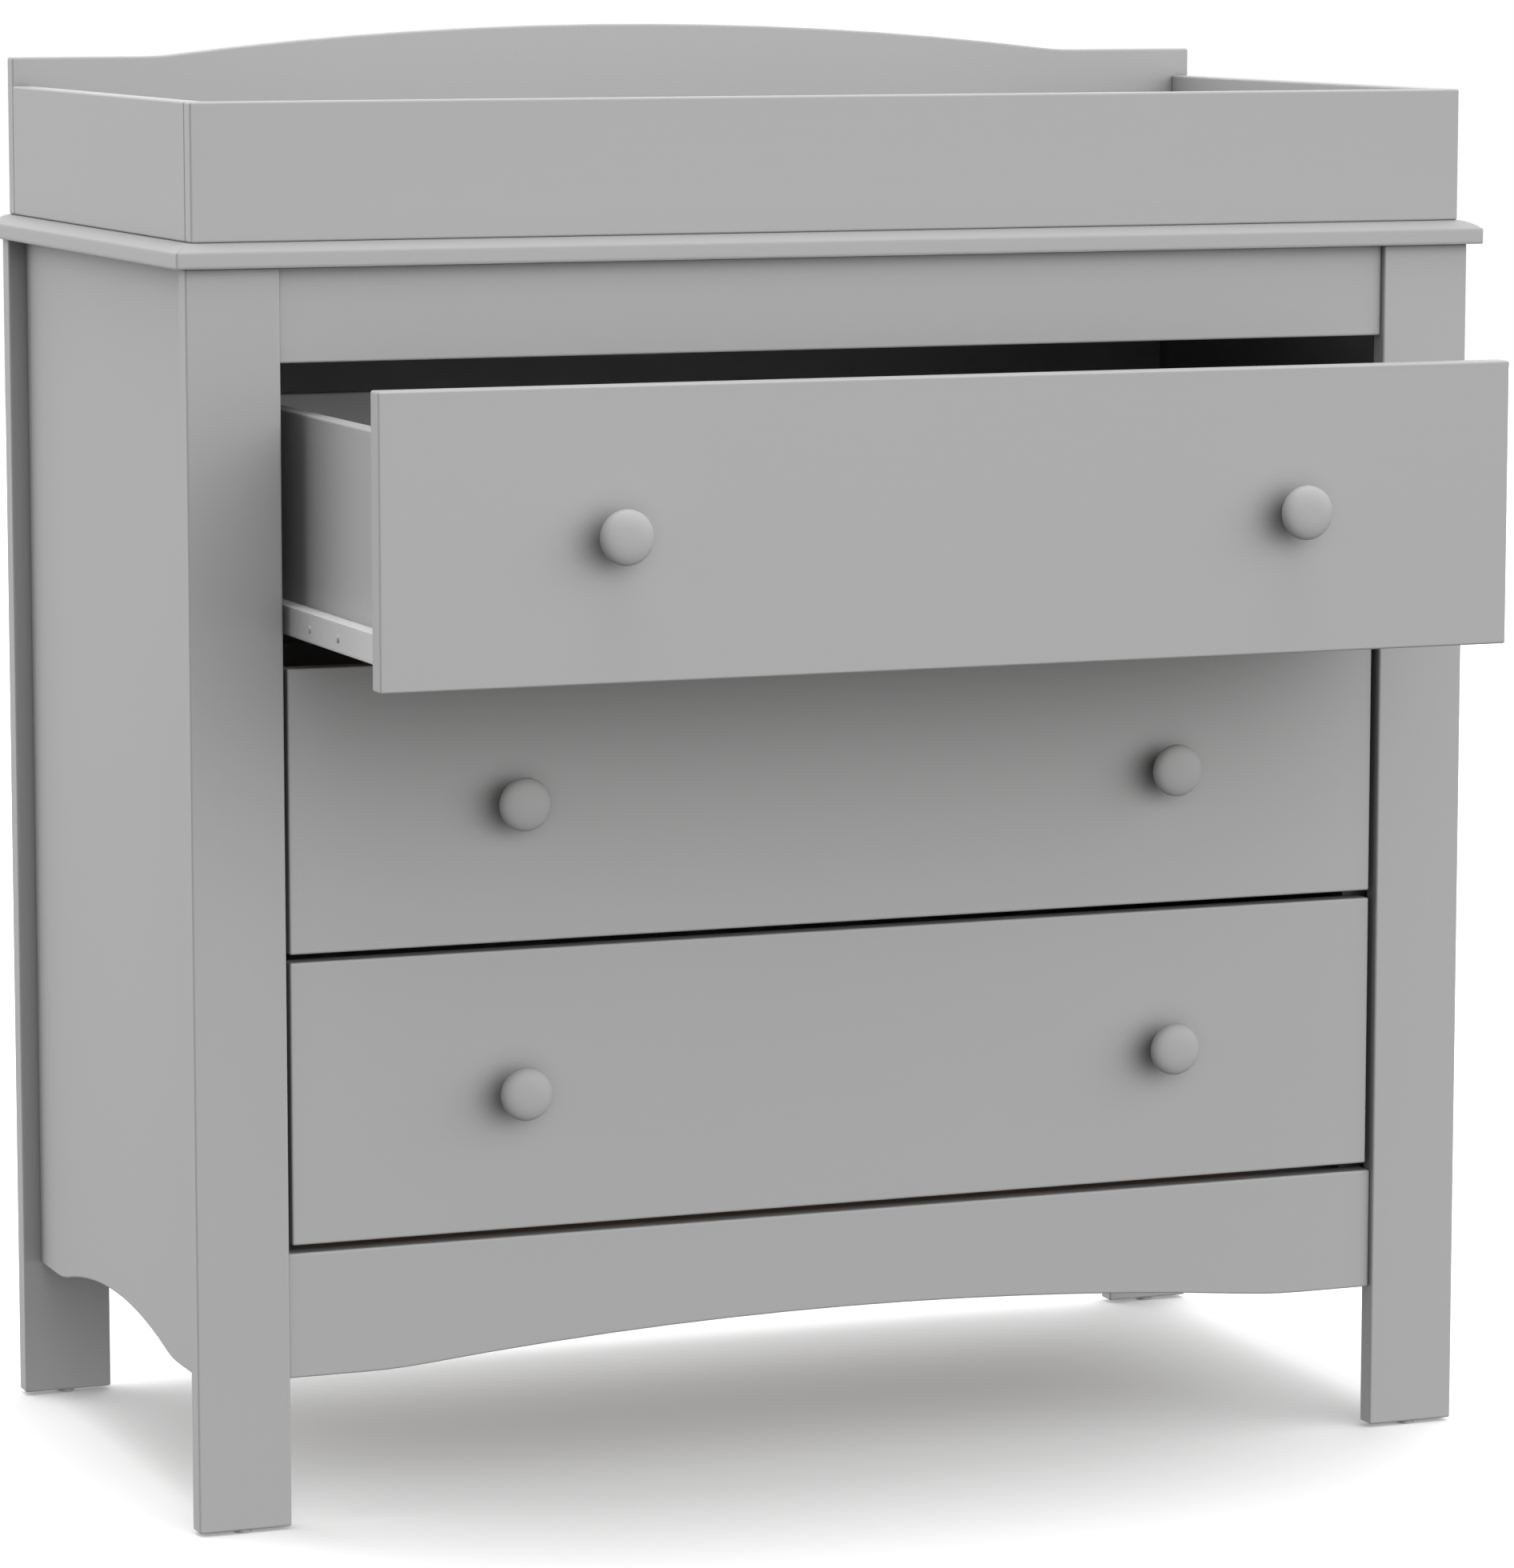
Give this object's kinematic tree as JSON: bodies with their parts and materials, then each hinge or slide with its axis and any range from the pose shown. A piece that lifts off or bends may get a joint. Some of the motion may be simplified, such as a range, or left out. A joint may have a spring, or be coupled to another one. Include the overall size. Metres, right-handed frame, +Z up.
{
  "type": "changing table",
  "caption": "Changing table: a wide chest of drawers on post legs with an arched apron, turned knobs and roller slides, under a shallow tray with an arched back panel.",
  "frame": {"origin": "on the floor, at the centre of the footprint of the whole piece with the upper drawer pulled out as stored", "axes": "+X to the right seen from the front, +Y from the drawer fronts to the rear, +Z up; the left-right mirror plane is X = 0"},
  "size_m": [0.88, 0.6374, 0.92],
  "materials": {
    "painted_wood": "satin pebble-grey paint",
    "hardboard": "grey-faced hardboard",
    "runner_steel": "light grey powder coat",
    "zinc_hardware": "bright zinc plate",
    "nylon": "natural nylon",
    "glide_plastic": "moulded, grey"
  },
  "bodies": {
    "case": {"back_panel": "hardboard", "back_panel_screws": "zinc_hardware", "cam_bolts": "zinc_hardware", "cam_locks": "zinc_hardware", "foot_glides": "glide_plastic", "front_apron": "painted_wood", "front_left_post": "painted_wood", "front_right_post": "painted_wood", "front_stretcher": "painted_wood", "front_top_rail": "painted_wood", "left_case_runners": "runner_steel", "left_side_panel": "painted_wood", "rear_bottom_rail": "painted_wood", "rear_fixing_screws": "zinc_hardware", "rear_left_post": "painted_wood", "rear_right_post": "painted_wood", "rear_top_rail": "painted_wood", "right_case_runners": "runner_steel", "right_side_panel": "painted_wood", "runner_cleats": "painted_wood", "top_board": "painted_wood", "tray_back_panel": "painted_wood", "tray_fixing_plates": "zinc_hardware", "tray_front_panel": "painted_wood", "tray_left_panel": "painted_wood", "tray_right_panel": "painted_wood", "wall_bracket": "zinc_hardware"},
    "lower_drawer": {"lower_drawer_back": "painted_wood", "lower_drawer_bottom": "hardboard", "lower_drawer_fasteners": "zinc_hardware", "lower_drawer_front": "painted_wood", "lower_drawer_knob_screws": "zinc_hardware", "lower_drawer_knobs": "painted_wood", "lower_drawer_left_side": "painted_wood", "lower_drawer_right_side": "painted_wood", "lower_drawer_runners": "runner_steel"},
    "middle_drawer": {"middle_drawer_back": "painted_wood", "middle_drawer_bottom": "hardboard", "middle_drawer_fasteners": "zinc_hardware", "middle_drawer_front": "painted_wood", "middle_drawer_knob_screws": "zinc_hardware", "middle_drawer_knobs": "painted_wood", "middle_drawer_left_side": "painted_wood", "middle_drawer_right_side": "painted_wood", "middle_drawer_runners": "runner_steel"},
    "upper_drawer": {"upper_drawer_back": "painted_wood", "upper_drawer_bottom": "hardboard", "upper_drawer_fasteners": "zinc_hardware", "upper_drawer_front": "painted_wood", "upper_drawer_knob_screws": "zinc_hardware", "upper_drawer_knobs": "painted_wood", "upper_drawer_left_side": "painted_wood", "upper_drawer_right_side": "painted_wood", "upper_drawer_runners": "runner_steel"},
    "lower_case_rollers": {"lower_case_rollers": "nylon"},
    "lower_drawer_rollers": {"lower_drawer_rollers": "nylon"},
    "middle_case_rollers": {"middle_case_rollers": "nylon"},
    "middle_drawer_rollers": {"middle_drawer_rollers": "nylon"},
    "upper_case_rollers": {"upper_case_rollers": "nylon"},
    "upper_drawer_rollers": {"upper_drawer_rollers": "nylon"}
  },
  "joints": [
    {"name": "lower_drawer_slide", "type": "slide", "parent": "case", "child": "lower_drawer", "axis": [0, -1, 0], "range_m": [0, 0.26]},
    {"name": "lower_case_rollers_spin", "type": "hinge", "parent": "case", "child": "lower_case_rollers", "pos_m": [0, -0.058, 0.1862], "axis": [1, 0, 0], "continuous": true},
    {"name": "lower_drawer_rollers_spin", "type": "hinge", "parent": "lower_drawer", "child": "lower_drawer_rollers", "pos_m": [0, 0.2423, 0.184], "axis": [1, 0, 0], "continuous": true},
    {"name": "middle_drawer_slide", "type": "slide", "parent": "case", "child": "middle_drawer", "axis": [0, -1, 0], "range_m": [0, 0.26]},
    {"name": "middle_case_rollers_spin", "type": "hinge", "parent": "case", "child": "middle_case_rollers", "pos_m": [0, -0.058, 0.36803], "axis": [1, 0, 0], "continuous": true},
    {"name": "middle_drawer_rollers_spin", "type": "hinge", "parent": "middle_drawer", "child": "middle_drawer_rollers", "pos_m": [0, 0.2423, 0.36583], "axis": [1, 0, 0], "continuous": true},
    {"name": "upper_drawer_slide", "type": "slide", "parent": "case", "child": "upper_drawer", "axis": [0, -1, 0], "range_m": [-0.1837, 0.0763]},
    {"name": "upper_case_rollers_spin", "type": "hinge", "parent": "case", "child": "upper_case_rollers", "pos_m": [0, -0.058, 0.54987], "axis": [1, 0, 0], "continuous": true},
    {"name": "upper_drawer_rollers_spin", "type": "hinge", "parent": "upper_drawer", "child": "upper_drawer_rollers", "pos_m": [0, 0.0586, 0.54767], "axis": [1, 0, 0], "continuous": true}
  ],
  "couplings": [
    {"joint": "lower_case_rollers_spin", "follows": "lower_drawer_slide", "rad_per_m": 136.99},
    {"joint": "lower_drawer_rollers_spin", "follows": "lower_drawer_slide", "rad_per_m": 136.99},
    {"joint": "middle_case_rollers_spin", "follows": "middle_drawer_slide", "rad_per_m": 136.99},
    {"joint": "middle_drawer_rollers_spin", "follows": "middle_drawer_slide", "rad_per_m": 136.99},
    {"joint": "upper_case_rollers_spin", "follows": "upper_drawer_slide", "rad_per_m": 136.99},
    {"joint": "upper_drawer_rollers_spin", "follows": "upper_drawer_slide", "rad_per_m": 136.99}
  ]
}
